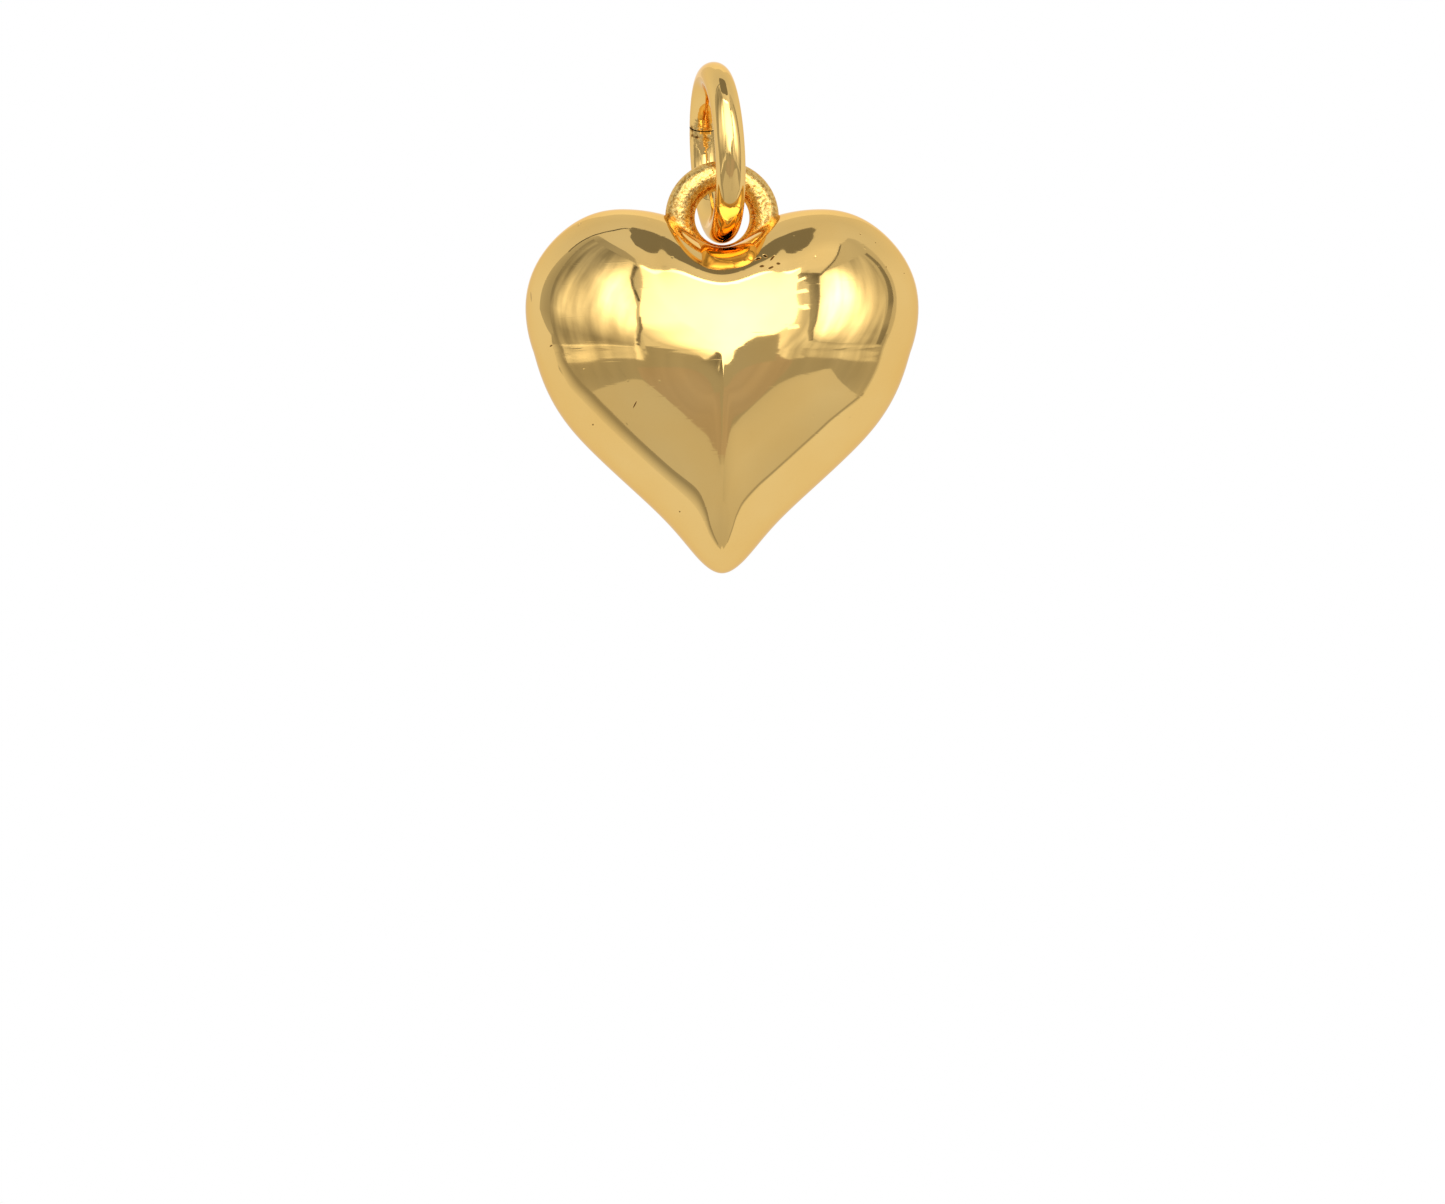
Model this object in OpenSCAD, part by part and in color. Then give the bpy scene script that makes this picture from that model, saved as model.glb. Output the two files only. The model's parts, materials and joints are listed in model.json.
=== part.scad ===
// Puffy heart pendant: a solid cast heart with its eyelet, hanging on a round wire jump ring.
// The front faces -Y. The origin is at the inner top of the jump ring, where a chain bears.

/* [Heart] */
// Width over both lobes
heart_w = 17.3; // [10:0.1:40]
// Thickness from front to back
heart_t = 10; // [5:0.1:24]
// Height of the lobes above the crown, the thickest point
lobe_h = 6.4; // [4:0.1:14]
// Depth of the tip below the crown
tip_h = 9.65; // [6:0.1:22]
// Depth of the cleft below the tops of the lobes
cleft_depth = 1.7; // [1:0.05:4]

/* [Eyelet] */
// Diameter of the hole
eyelet_hole = 2.4; // [1.8:0.1:5]
// Thickness of the eyelet's round section
eyelet_wire = 1.3; // [0.8:0.05:2.5]
// Height of the floor of the hole above the floor of the cleft
hole_step = 0.1; // [0.05:0.05:0.6]

/* [Jump ring] */
// Diameter inside the ring
ring_hole = 5.4; // [4.4:0.1:12]
// Diameter of the ring's wire
ring_wire = 1.3; // [0.6:0.05:1.5]
// Gap of the butt split, measured along the wire
split_gap = 0.08; // [0.02:0.01:0.3]
// Place of the split above the level of the ring's centre, at the back
split_rise = 24; // [-30:1:70]
// Turn of the ring about its upright line
ring_turn = 9.5; // [0:0.5:20]
// Lean of the ring to the left
ring_lean = 3.5; // [0:0.5:10]

/* [Fit] */
// Clearance between the ring's wire and the floor of the eyelet's hole
ring_clearance = 0.06; // [0.02:0.01:0.2]

/* [Hidden] */

cast_gold = [0.83, 0.66, 0.33];
wire_gold = [0.88, 0.72, 0.38];

// Steps in each span of the outline, and rings of points from back to front
span_steps = 5;
ring_count = 40;

ring_r = (ring_hole + ring_wire) / 2;
eyelet_r = (eyelet_hole + eyelet_wire) / 2;

// The ring's wire at its lowest point, which is the pin that the eyelet turns on
pin_drop = ring_hole / 2 + ring_r;
pin = [pin_drop * sin(ring_lean), 0, -pin_drop * cos(ring_lean)];

eyelet_z = pin[2] - ring_wire / 2 - ring_clearance + eyelet_hole / 2;
cleft_z = eyelet_z - eyelet_hole / 2 - hole_step;
crown_z = cleft_z - (lobe_h - cleft_depth);

// The outline is a smooth curve drawn by a net of points. In the net, x is a share of the
// half width, and z runs from 1 at the tops of the lobes over 0 at the crown to -1 at the tip.
cleft_share = 1 - cleft_depth / lobe_h;
wall_rise = 0.2;
wall_top_z = 0.96;
shoulder_z = 0.983;
tip_shoulder_z = -0.938;
// A net point that makes the curve pass through a height, between two neighbours at equal height
function through(height, neighbour) = 1.5 * height - 0.5 * neighbour;

half_outline = [
    [0, through(cleft_share, cleft_share + wall_rise)],
    [0.242, cleft_share + wall_rise],
    [0.285, wall_top_z],
    [0.456, through(1, shoulder_z)],
    [0.740, shoulder_z],
    [1.055, 0.511],
    [0.954, -0.154],
    [0.678, -0.449],
    [0.273, -0.758],
    [0.130, tip_shoulder_z],
    [0, through(-1, tip_shoulder_z)]
];

// Near the crown the contour has no cleft: it is a dome over a narrowed copy of the lower half.
// The net points of the cleft spread along the dome, so the cleft runs out in a wide valley.
dome_z = 0.965;
dome_x = 0.947;
dome_spread = [0, 0.302, 0.65, 0.698, 0.885, 0.9415];
crown_narrow = 0.9;
crown_short = 0.93;
half_crown = [
    for (i = [0 : len(half_outline) - 1])
        let (p = half_outline[i])
        p[1] > 0
            ? [dome_spread[i], dome_z * sqrt(1 - pow(dome_spread[i] / dome_x, 2))]
            : [crown_narrow * p[0], crown_short * p[1]]
];

function both_sides(half) =
    concat(half, [for (i = [len(half) - 2 : -1 : 1]) [-half[i][0], half[i][1]]]);

// One point of a uniform cubic spline span, which is smooth in slope and in curvature
function spline_point(a, b, c, d, t) =
    (pow(1 - t, 3) * a + (3 * pow(t, 3) - 6 * t * t + 4) * b
        + (-3 * pow(t, 3) + 3 * t * t + 3 * t + 1) * c + pow(t, 3) * d) / 6;

function closed_spline(net, steps) =
    let (n = len(net))
    [
        for (i = [0 : n - 1], k = [0 : steps - 1])
            spline_point(net[(i + n - 1) % n], net[i], net[(i + 1) % n], net[(i + 2) % n], k / steps)
    ];

outline = closed_spline(both_sides(half_outline), span_steps);
crown = closed_spline(both_sides(half_crown), span_steps);
half_width_share = max([for (p = outline) p[0]]);

// A point of the net's plane in millimetres
function to_size(p) =
    [p[0] * heart_w / 2 / half_width_share, p[1] * (p[1] > 0 ? lobe_h : tip_h)];

// The contour at a latitude from -90 at the back over 0 at the rim to 90 at the front.
// It shrinks as a circle does, while the outline turns into the crown's rounder contour.
function contour(latitude) =
    let (blend = pow(sin(latitude), 2), depth = -heart_t / 2 * sin(latitude))
    [
        for (i = [0 : len(outline) - 1])
            let (p = to_size((1 - blend) * outline[i] + blend * crown[i]) * cos(latitude))
            [p[0], depth, p[1]]
    ];

module puffed_heart() {
    around = len(outline);
    latitudes = [for (k = [1 : ring_count - 1]) -90 + 180 * k / ring_count];
    rows = len(latitudes);
    back_pole = rows * around;
    front_pole = back_pole + 1;
    points = concat(
        [for (latitude = latitudes) each contour(latitude)],
        [[0, heart_t / 2, 0], [0, -heart_t / 2, 0]]
    );
    faces = concat(
        [
            for (j = [0 : rows - 2], i = [0 : around - 1])
                let (
                    i2 = (i + 1) % around,
                    a = j * around + i,
                    b = j * around + i2,
                    c = a + around,
                    d = b + around
                )
                each [[a, b, c], [b, d, c]]
        ],
        [for (i = [0 : around - 1]) [back_pole, (i + 1) % around, i]],
        [
            for (i = [0 : around - 1])
                [front_pole, (rows - 1) * around + i, (rows - 1) * around + (i + 1) % around]
        ]
    );
    polyhedron(points = points, faces = faces);
}

// A ring of round wire that stands in the YZ plane
module wire_ring(radius, wire) {
    rotate([0, 90, 0])
        rotate_extrude($fn = 96)
            translate([radius, 0])
                circle(d = wire, $fn = 48);
}

module heart() {
    color(cast_gold)
        translate([pin[0], 0, 0])
            union() {
                translate([0, 0, crown_z])
                    puffed_heart();
                translate([0, 0, eyelet_z])
                    rotate([0, 0, 90])
                        wire_ring(eyelet_r, eyelet_wire);
            }
}

// The ring is bent round from one face of the split to the other, which almost meet
module jump_ring() {
    split_angle = split_gap / ring_r * 180 / PI;
    color(wire_gold)
        rotate([0, -ring_lean, 0])
            rotate([0, 0, ring_turn])
                translate([0, 0, -ring_hole / 2])
                    rotate([0, 0, 90])
                        rotate([90, 0, 0])
                            rotate([0, 0, split_rise + split_angle / 2])
                                rotate_extrude(angle = 360 - split_angle, $fn = 96)
                                    translate([ring_r, 0])
                                        circle(d = ring_wire, $fn = 48);
}

heart();
jump_ring();
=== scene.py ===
# %% [markdown]
# # A puffed heart pendant in polished gold plate
#
# The real object is two pieces of metal. The heart is one casting with a round eyelet in its
# cleft, tumbled and plated until it is a mirror. The jump ring is a length of round wire that
# was wound on a rod, cut and closed, so it has a butt split that never quite disappears.
# A mirror shows its surroundings, so half of the work here is the metal and the other half
# is the light tent round it.

# %% Load the fixed frame
import json
import math

import bmesh
import bpy
import numpy as np
from mathutils import Matrix, Vector

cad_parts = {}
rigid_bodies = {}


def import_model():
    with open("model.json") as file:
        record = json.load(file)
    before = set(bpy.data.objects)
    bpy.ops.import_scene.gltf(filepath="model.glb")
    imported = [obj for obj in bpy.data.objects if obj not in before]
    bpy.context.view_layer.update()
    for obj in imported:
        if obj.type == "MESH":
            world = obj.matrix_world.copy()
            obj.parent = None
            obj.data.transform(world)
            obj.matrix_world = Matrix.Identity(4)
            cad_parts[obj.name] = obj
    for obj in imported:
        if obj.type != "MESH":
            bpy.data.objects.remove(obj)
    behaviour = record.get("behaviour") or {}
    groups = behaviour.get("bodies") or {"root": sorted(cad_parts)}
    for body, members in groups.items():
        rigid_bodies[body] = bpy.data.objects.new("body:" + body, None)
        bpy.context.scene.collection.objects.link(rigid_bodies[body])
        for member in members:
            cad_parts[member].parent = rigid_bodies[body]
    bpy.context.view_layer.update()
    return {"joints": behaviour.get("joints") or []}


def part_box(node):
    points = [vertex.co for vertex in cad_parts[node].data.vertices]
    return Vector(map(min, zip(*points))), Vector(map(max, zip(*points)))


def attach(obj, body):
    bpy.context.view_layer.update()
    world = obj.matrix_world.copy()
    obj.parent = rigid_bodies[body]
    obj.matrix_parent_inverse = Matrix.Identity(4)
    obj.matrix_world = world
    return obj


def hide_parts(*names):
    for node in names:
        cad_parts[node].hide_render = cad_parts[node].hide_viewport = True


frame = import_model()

MM = 0.001

# %% [markdown]
# ## The sizes
#
# Whatever the frame already knows is read from it: the boxes of the heart and the ring, and the
# sway joint, whose position is the lowest point of the ring's wire and whose axis is the wire's
# direction there. The rest are the few sizes that a box can't tell: lengths in millimetres, and
# the place of the split as an angle in degrees.

# %% Sizes of the two pieces
heart_low, heart_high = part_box("heart")
ring_low, ring_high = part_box("jump_ring")
sway = next(joint for joint in frame["joints"] if joint["name"] == "heart_sway")
pin = Vector(sway["pos_m"])
pin_axis = Vector(sway["axis"])

heart_x = (heart_low.x + heart_high.x) / 2
heart_w = heart_high.x - heart_low.x
heart_t = heart_high.y - heart_low.y
LOBE_H = 6.4 * MM
TIP_H = 9.65 * MM
CLEFT_DEPTH = 1.7 * MM
crown_z = heart_low.z + TIP_H

EYELET_HOLE = 2.4 * MM
EYELET_WIRE = 1.3 * MM
eyelet_r = (EYELET_HOLE + EYELET_WIRE) / 2
eyelet_z = heart_high.z - eyelet_r - EYELET_WIRE / 2

RING_HOLE = 5.4 * MM
RING_WIRE = 1.3 * MM
SPLIT_GAP = 0.08 * MM
SPLIT_RISE = 24
ring_r = (RING_HOLE + RING_WIRE) / 2
ring_lean = math.atan2(pin.x, -pin.z)
ring_turn = math.atan2(-pin_axis.x, pin_axis.y)
print(f"heart {heart_w / MM:.2f} x {heart_t / MM:.2f} mm, crown at z {crown_z / MM:.2f} mm")
print(f"ring from z {ring_low.z / MM:.2f} to {ring_high.z / MM:.2f} mm")
print(f"ring leans {math.degrees(ring_lean):.1f} and is turned {math.degrees(ring_turn):.1f} degrees")

# %% [markdown]
# ## Small helpers
#
# Every tree below, whether it makes a mesh, a metal or a light, is built by one function that
# adds a node. Nodes could also be laid out by hand in the editor, but here each one stands in
# the text with its settings and links beside it. Math and Mix nodes take their inputs by
# number, because their names repeat: in a Mix node 2 and 3 are numbers, 4 and 5 are vectors,
# and 6 and 7 are colours. The other helpers empty a tree, put an object in the scene, and
# store values on a mesh's points. Colours are written as sRGB hex, as a colour picker shows
# them, and turned to the linear values that a shader wants in one place.


# %% Add a node
def add(tree, kind, inputs=None, **settings):
    """Adds a node with its settings, and gives each named input a value or a link.

    A node that is given as an input stands for its first output.
    """
    node = tree.nodes.new(kind)
    for name, value in settings.items():
        setattr(node, name, value)
    for key, value in (inputs or {}).items():
        if isinstance(value, bpy.types.Node):
            value = value.outputs[0]
        if isinstance(value, bpy.types.NodeSocket):
            tree.links.new(value, node.inputs[key])
        else:
            node.inputs[key].default_value = value
    return node


def emptied(owner):
    """The node tree of a material or a world, switched on and emptied."""
    owner.use_nodes = True
    owner.node_tree.nodes.clear()
    return owner.node_tree


# %% Objects and attributes
def placed(name, data):
    """A new object that holds the data, in the scene."""
    thing = bpy.data.objects.new(name, data)
    bpy.context.collection.objects.link(thing)
    return thing


def store(mesh, label, kind, field, values):
    """Stores a flat row of values as an attribute on the mesh's points."""
    mesh.attributes.new(label, kind, "POINT").data.foreach_set(field, values)


# %% Colours
def linear(code):
    """The linear colour, with an alpha of 1, of an sRGB hex code such as #F9D080."""
    parts = [int(code[i : i + 2], 16) / 255 for i in (1, 3, 5)]
    return [p / 12.92 if p <= 0.04045 else ((p + 0.055) / 1.055) ** 2.4 for p in parts] + [1]


GOLD = "#F9D080"
EDGE_GOLD = "#F8E6C8"
WHITE = "#FFFFFF"
print("gold plate is", [round(v, 2) for v in linear(GOLD)[:3]], "in linear light")

# %% [markdown]
# ## The camera
#
# The pendant was photographed square from the front with a long lens, so the camera looks
# along +Y. A nearer camera with a short lens would frame it as well, but it would bulge the
# lobes and squeeze the rim. The aim is lower than the pendant, because the pendant hangs in
# the upper part of the picture.

# %% Camera
LENS = 200
SENSOR_W = 36
CAMERA_BACK = 353 * MM
AIM = Vector((0.39 * MM, 0, -22.45 * MM))

camera_data = bpy.data.cameras.new("camera")
camera_data.lens = LENS
camera_data.sensor_width = SENSOR_W
camera_data.clip_start = 0.01
camera = placed("camera", camera_data)
camera.location = AIM - Vector((0, CAMERA_BACK, 0))
camera.rotation_euler = (math.pi / 2, 0, 0)
bpy.context.scene.camera = camera
bpy.context.scene.view_settings.view_transform = "Standard"
print("the picture is", round(SENSOR_W / LENS * CAMERA_BACK / MM, 1), "mm wide at the pendant")

# %% [markdown]
# ## The outline of the heart
#
# A heart that looks cast has no corner anywhere but a rounded tip. It could be drawn with
# arcs, which meet smoothly but change curvature with a jump, and a mirror shows that as a kink
# in the reflections. So eleven net points on one side, mirrored, draw it as a uniform cubic
# spline, which is smooth in slope and in curvature. Towards the front and the back the contour
# loses its cleft, so a second, rounder net is made from the first by rule: its lower points
# are drawn in, and its upper ones stand on a low dome. That is the crown's contour.


# %% Net points of the outline and of the crown
def through(height, neighbour):
    """The net height that makes the curve pass through a height between two equal neighbours."""
    return 1.5 * height - 0.5 * neighbour


WALL_RISE = 0.2
WALL_TOP = 0.96
SHOULDER = 0.983
TIP_SHOULDER = -0.938
DOME_WIDTH = 0.947
DOME_HEIGHT = 0.965
DOME_SPREAD = [0, 0.302, 0.65, 0.698, 0.885, 0.9415]
CROWN_NARROW = 0.9
CROWN_SHORT = 0.93
cleft = 1 - CLEFT_DEPTH / LOBE_H
cleft_wall = cleft + WALL_RISE

half_outline = [
    (0, through(cleft, cleft_wall)),
    (0.242, cleft_wall),
    (0.285, WALL_TOP),
    (0.456, through(1, SHOULDER)),
    (0.740, SHOULDER),
    (1.055, 0.511),
    (0.954, -0.154),
    (0.678, -0.449),
    (0.273, -0.758),
    (0.130, TIP_SHOULDER),
    (0, through(-1, TIP_SHOULDER)),
]


def crown_point(row, x, z):
    """A net point of the crown: the upper ones stand on a dome, and the lower ones are drawn in."""
    if z > 0:
        across = DOME_SPREAD[row]
        return across, DOME_HEIGHT * math.sqrt(1 - (across / DOME_WIDTH) ** 2)
    return CROWN_NARROW * x, CROWN_SHORT * z


half_crown = [crown_point(row, x, z) for row, (x, z) in enumerate(half_outline)]


# %% The spline through a net
def closed_spline(half, steps):
    """Points along the closed spline of a half net and its mirror image."""
    net = np.array(list(half) + [(-x, z) for x, z in half[-2:0:-1]])
    a, b, c, d = (np.roll(net, shift, axis=0)[:, None, :] for shift in (1, 0, -1, -2))
    t = (np.arange(steps) / steps)[None, :, None]
    start, middle = (1 - t) ** 3, 3 * t**3 - 6 * t**2 + 4
    late, end = -3 * t**3 + 3 * t**2 + 3 * t + 1, t**3
    return ((start * a + middle * b + late * c + end * d) / 6).reshape(-1, 2)


SPAN_STEPS = 15
LATITUDES = 144
outline = closed_spline(half_outline, SPAN_STEPS)
crown = closed_spline(half_crown, SPAN_STEPS)
half_width = heart_w / 2 / outline[:, 0].max()
print(len(outline), "points round the heart, and", LATITUDES - 1, "contours from back to front")

# %% [markdown]
# ## The puffed body, by Geometry Nodes
#
# Such a heart is carved once as a master and cast many times. Here it could be sculpted, or
# blown up from a flat heart with cloth pressure, but both leave dents that a mirror betrays.
# So it follows a rule. A globe has lines of latitude that shrink with the cosine, and the heart
# is made the same way, while each contour also turns from the outline into the crown. The grid
# of points carries its outline, crown and latitude as attributes, and the node tree turns
# them into a body from four named sizes. It also adds the faint waviness of metal that was
# smoothed by tumbling and not by a lathe: it is a few micrometres deep, always inwards, and it
# is what makes the reflections look cast instead of computed.


# %% A closed grid that carries the attributes
def globe_grid(name):
    """A closed grid of latitude rings and two poles, with what the tree needs on each point."""
    around = len(outline)
    rows = [math.radians(-90 + 180 * k / LATITUDES) for k in range(1, LATITUDES)]
    count = around * len(rows)
    faces = []
    for j in range(len(rows) - 1):
        for i in range(around):
            a, b = j * around + i, j * around + (i + 1) % around
            faces.append((a, a + around, b + around, b))
    last = (len(rows) - 1) * around
    for i in range(around):
        faces.append((count, i, (i + 1) % around))
        faces.append((count + 1, last + (i + 1) % around, last + i))
    mesh = bpy.data.meshes.new(name)
    mesh.from_pydata(np.zeros((count + 2, 3)).tolist(), [], faces)
    for label, contour in (("rim", outline), ("crown", crown)):
        values = np.vstack([np.tile(contour, (len(rows), 1)), np.zeros((2, 2))])
        flat = np.column_stack([values[:, 0], np.zeros(len(values)), values[:, 1]])
        store(mesh, label, "FLOAT_VECTOR", "vector", flat.ravel())
    latitude = np.concatenate([np.repeat(rows, around), [-math.pi / 2, math.pi / 2]])
    store(mesh, "latitude", "FLOAT", "value", latitude)
    return mesh


# %% How each tree starts and ends
def new_tree(name, **labels):
    """A Geometry Nodes tree, and its inputs: the labels by kind of socket, and a finish."""
    tree = bpy.data.node_groups.new(name, "GeometryNodeTree")
    tree.interface.new_socket("Geometry", in_out="INPUT", socket_type="NodeSocketGeometry")
    for kind, names in labels.items():
        for label in names:
            tree.interface.new_socket(label, in_out="INPUT", socket_type="NodeSocket" + kind)
    tree.interface.new_socket("Finish", in_out="INPUT", socket_type="NodeSocketMaterial")
    tree.interface.new_socket("Geometry", in_out="OUTPUT", socket_type="NodeSocketGeometry")
    return tree, add(tree, "NodeGroupInput").outputs


def dress(tree, geometry, finish):
    """Ends a tree with smooth shading, realized instances and the finish on everything."""
    smooth = add(tree, "GeometryNodeSetShadeSmooth", {"Geometry": geometry})
    real = add(tree, "GeometryNodeRealizeInstances", {"Geometry": smooth})
    dressed = add(tree, "GeometryNodeSetMaterial", {"Geometry": real, "Material": finish})
    add(tree, "NodeGroupOutput", {"Geometry": dressed})


# %% The tree that puffs the grid
def puff_tree():
    """Geometry Nodes: latitude contours between an outline and a crown, with named sizes."""
    tree, given = new_tree(
        "puffed_heart",
        Float=("Half Width", "Lobe Height", "Tip Depth", "Thickness", "Wave", "Wave Depth"),
        Vector=("Centre",),
    )
    latitude = add(tree, "GeometryNodeInputNamedAttribute", {"Name": "latitude"}, data_type="FLOAT")
    rim = add(tree, "GeometryNodeInputNamedAttribute", {"Name": "rim"}, data_type="FLOAT_VECTOR")
    top = add(tree, "GeometryNodeInputNamedAttribute", {"Name": "crown"}, data_type="FLOAT_VECTOR")
    sine = add(tree, "ShaderNodeMath", {0: latitude}, operation="SINE")
    cosine = add(tree, "ShaderNodeMath", {0: latitude}, operation="COSINE")
    blend = add(tree, "ShaderNodeMath", {0: sine, 1: sine}, operation="MULTIPLY")
    contour = add(tree, "ShaderNodeMix", {0: blend, 4: rim, 5: top}, data_type="VECTOR")
    share = add(tree, "ShaderNodeSeparateXYZ", {0: contour.outputs[1]}).outputs

    across = add(tree, "ShaderNodeMath", {0: share["X"], 1: cosine}, operation="MULTIPLY")
    x = add(tree, "ShaderNodeMath", {0: across, 1: given["Half Width"]}, operation="MULTIPLY")
    depth = add(tree, "ShaderNodeMath", {0: sine, 1: given["Thickness"]}, operation="MULTIPLY")
    y = add(tree, "ShaderNodeMath", {0: depth, 1: -0.5}, operation="MULTIPLY")
    above = add(tree, "ShaderNodeMath", {0: share["Z"], 1: 0.0}, operation="MAXIMUM")
    below = add(tree, "ShaderNodeMath", {0: share["Z"], 1: 0.0}, operation="MINIMUM")
    lobe = add(tree, "ShaderNodeMath", {0: above, 1: given["Lobe Height"]}, operation="MULTIPLY")
    tip = add(tree, "ShaderNodeMath", {0: below, 1: given["Tip Depth"]}, operation="MULTIPLY")
    height = add(tree, "ShaderNodeMath", {0: lobe, 1: tip}, operation="ADD")
    z = add(tree, "ShaderNodeMath", {0: height, 1: cosine}, operation="MULTIPLY")
    place = add(tree, "ShaderNodeCombineXYZ", {"X": x, "Y": y, "Z": z})
    centred = add(tree, "ShaderNodeVectorMath", {0: place, 1: given["Centre"]}, operation="ADD")
    sockets = {"Geometry": given["Geometry"], "Position": centred}
    body = add(tree, "GeometryNodeSetPosition", sockets)

    position = add(tree, "GeometryNodeInputPosition")
    scale = add(tree, "ShaderNodeMath", {0: 1.0, 1: given["Wave"]}, operation="DIVIDE")
    noise = add(tree, "ShaderNodeTexNoise", {"Vector": position, "Scale": scale, "Detail": 1.0})
    dip = add(tree, "ShaderNodeMath", {0: noise, 1: given["Wave Depth"]}, operation="MULTIPLY")
    inwards = add(tree, "ShaderNodeMath", {0: dip, 1: -1.0}, operation="MULTIPLY")
    normal = add(tree, "GeometryNodeInputNormal")
    offset = add(tree, "ShaderNodeVectorMath", {0: normal, "Scale": inwards}, operation="SCALE")
    waved = add(tree, "GeometryNodeSetPosition", {"Geometry": body, "Offset": offset})
    dress(tree, waved, given["Finish"])
    return tree


# %% Bake a tree into a plain mesh
def bake(name, mesh, tree, sizes):
    """Runs a tree on a mesh with named inputs, and returns an object that holds the plain result."""
    holder = placed(name + "_holder", mesh)
    modifier = holder.modifiers.new(tree.name, "NODES")
    modifier.node_group = tree
    # A modifier knows its inputs by identifier, so each name is looked up first
    sockets = {
        item.name: item.identifier for item in tree.interface.items_tree if item.in_out == "INPUT"
    }
    for label, value in sizes.items():
        modifier[sockets[label]] = value
    graph = bpy.context.evaluated_depsgraph_get()
    result = bpy.data.meshes.new_from_object(holder.evaluated_get(graph))
    holder.modifiers.remove(modifier)
    bpy.data.objects.remove(holder)
    result.name = name
    return placed(name, result)


# %% [markdown]
# ## Finish 1: cast brass, gold plated and tumbled to a mirror
#
# Plated costume jewellery is cast in brass or zinc, smoothed in a barrel of polishing stones
# and then plated. That leaves a mirror with three faults: pits where the casting had pores,
# hairline scratches from handling, and a slight haze that comes and goes. One even gloss would
# look like plastic film, so the eye needs all three. The metal keeps its default IOR, its
# roughness is low and varies with the haze, and the pits and scratches are bump and not mesh,
# because they are only a tenth of a millimetre or so across. The few nicks that are long
# enough to see one by one are ellipses at their own places, worn down to the brown of the
# brass.


# %% How each metal starts and ends
def new_metal(name):
    """A new material, its emptied tree, and the Object coordinates that its patterns read."""
    material = bpy.data.materials.new(name)
    tree = emptied(material)
    return material, tree, add(tree, "ShaderNodeTexCoord").outputs["Object"]


def finish_metal(tree, look):
    """Ends a metal's tree with a Principled shader of that look, as a metal with gold's pale edge."""
    sockets = {"Metallic": 1.0, "Specular Tint": linear(EDGE_GOLD), **look}
    shader = add(tree, "ShaderNodeBsdfPrincipled", sockets)
    add(tree, "ShaderNodeOutputMaterial", {"Surface": shader})


# %% Nicks that the pendant shows
def nick(tree, place, x, z, length, width, angle):
    """A mask of 1 inside a small ellipse on the front, at x and z in mm, its length at an angle."""
    ellipse = {
        "Vector": place,
        "Location": (x * MM, -heart_t / 2, z * MM),
        "Rotation": (0, math.radians(-angle), 0),
        "Scale": (length / 2 * MM, heart_t / 2, width / 2 * MM),
    }
    spot = add(tree, "ShaderNodeMapping", ellipse, vector_type="TEXTURE")
    reach = add(tree, "ShaderNodeVectorMath", {0: spot}, operation="LENGTH").outputs["Value"]
    edge = {"Value": reach, "From Min": 0.7, "From Max": 1.0, "To Min": 1.0, "To Max": 0.0}
    return add(tree, "ShaderNodeMapRange", edge)


# Each nick's place (x, z), its length and width in mm, and its angle in degrees
NICKS = [
    (-5.87, -5.9, 0.55, 0.06, 41),
    (-4.82, -5.27, 0.62, 0.05, 13),
    (-8.0, -9.05, 0.85, 0.07, 94),
    (-3.42, -13.86, 0.42, 0.07, 62),
    (6.42, -6.35, 0.1, 0.1, 0),
    (7.55, -7.8, 0.09, 0.09, 0),
    (1.93, -7.5, 0.34, 0.12, 20),
    (2.24, -7.38, 0.26, 0.14, -25),
    (2.56, -7.47, 0.36, 0.1, 50),
    (2.1, -7.84, 0.24, 0.12, 10),
    (2.5, -7.9, 0.3, 0.1, 25),
    (2.82, -7.72, 0.2, 0.12, 0),
    (-7.1, -11.25, 0.2, 0.1, 30),
    (-5.27, -14.7, 0.1, 0.1, 0),
    (-1.48, -18.5, 0.1, 0.09, 0),
    (7.1, -6.72, 0.13, 0.08, 20),
    (8.35, -8.05, 0.1, 0.09, 0),
]
print("nicks on the front:", len(NICKS))

# %% Polished gold plate
HAZE = 3.5 * MM
SCRATCH, SCRATCH_STRETCH, SCRATCH_DEPTH = 0.12 * MM, 14, 0.0006 * MM
PIT_SPACING, PIT_DEPTH = 1.1 * MM, 0.004 * MM
NICK_DEPTH = 0.03 * MM
WORN_BRASS = "#7A5426"


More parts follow.
